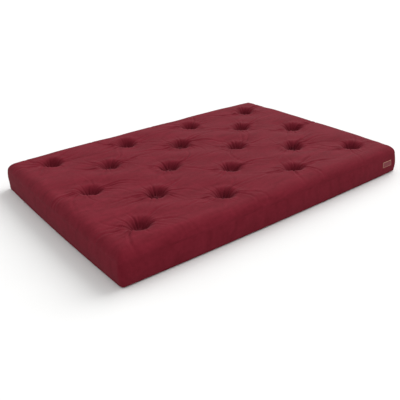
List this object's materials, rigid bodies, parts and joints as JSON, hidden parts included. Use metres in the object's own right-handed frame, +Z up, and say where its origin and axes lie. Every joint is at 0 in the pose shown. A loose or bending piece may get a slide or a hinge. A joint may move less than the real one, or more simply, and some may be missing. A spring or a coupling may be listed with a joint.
{
  "type": "futon mattress",
  "caption": "Full-size tufted futon mattress: fibre core and batting in a sewn microfibre cover, tied through with tufts, folding along its middle row from bed to sofa",
  "frame": {"origin": "on the floor under the middle of the mattress as it lies flat", "axes": "+X along the 75 inch length, +Y from the seat half to the back half, +Z up out of the sleeping face"},
  "size_m": [1.905, 1.372, 0.175],
  "materials": {
    "cover": "brushed burgundy microfibre",
    "batting": "matte polyester fibre",
    "core": "matte pressed fibre",
    "twine": "waxed twine and felt",
    "label": "woven satin, blank",
    "care_tag": "woven nylon, blank"
  },
  "bodies": {
    "seat_half": {"top_panel_seat_span": "cover", "top_panel_fold_span": "cover", "bottom_panel_seat_span": "cover", "bottom_panel_fold_span": "cover", "left_boxing_seat_span": "cover", "left_boxing_fold_span": "cover", "right_boxing_seat_span": "cover", "right_boxing_fold_span": "cover", "top_batting_seat_span": "batting", "top_batting_fold_span": "batting", "bottom_batting_seat_span": "batting", "bottom_batting_fold_span": "batting", "core_seat_span": "core", "core_fold_span": "core", "front_boxing": "cover", "woven_label": "label", "tuft_tie_01": "twine", "tuft_tie_02": "twine", "tuft_tie_03": "twine", "tuft_tie_04": "twine", "tuft_tie_05": "twine", "tuft_tie_06": "twine", "tuft_tie_07": "twine", "tuft_tie_08": "twine", "tuft_tie_09": "twine", "tuft_tie_10": "twine", "tuft_tie_11": "twine"},
    "back_half": {"top_panel_back_span": "cover", "bottom_panel_back_span": "cover", "left_boxing_back_span": "cover", "right_boxing_back_span": "cover", "top_batting_back_span": "batting", "bottom_batting_back_span": "batting", "core_back_span": "core", "back_boxing": "cover", "care_tag": "care_tag", "tuft_tie_12": "twine", "tuft_tie_13": "twine", "tuft_tie_14": "twine", "tuft_tie_15": "twine", "tuft_tie_16": "twine", "tuft_tie_17": "twine", "tuft_tie_18": "twine"}
  },
  "joints": [
    {"name": "fold", "type": "hinge", "parent": "seat_half", "child": "back_half", "pos_m": [0, 0, 0.0875], "axis": [1, 0, 0], "range_deg": [0, 75], "deforming": ["top_panel_fold_span", "bottom_panel_fold_span", "left_boxing_fold_span", "right_boxing_fold_span", "top_batting_fold_span", "bottom_batting_fold_span", "core_fold_span", "tuft_tie_08", "tuft_tie_09", "tuft_tie_10", "tuft_tie_11"]}
  ]
}
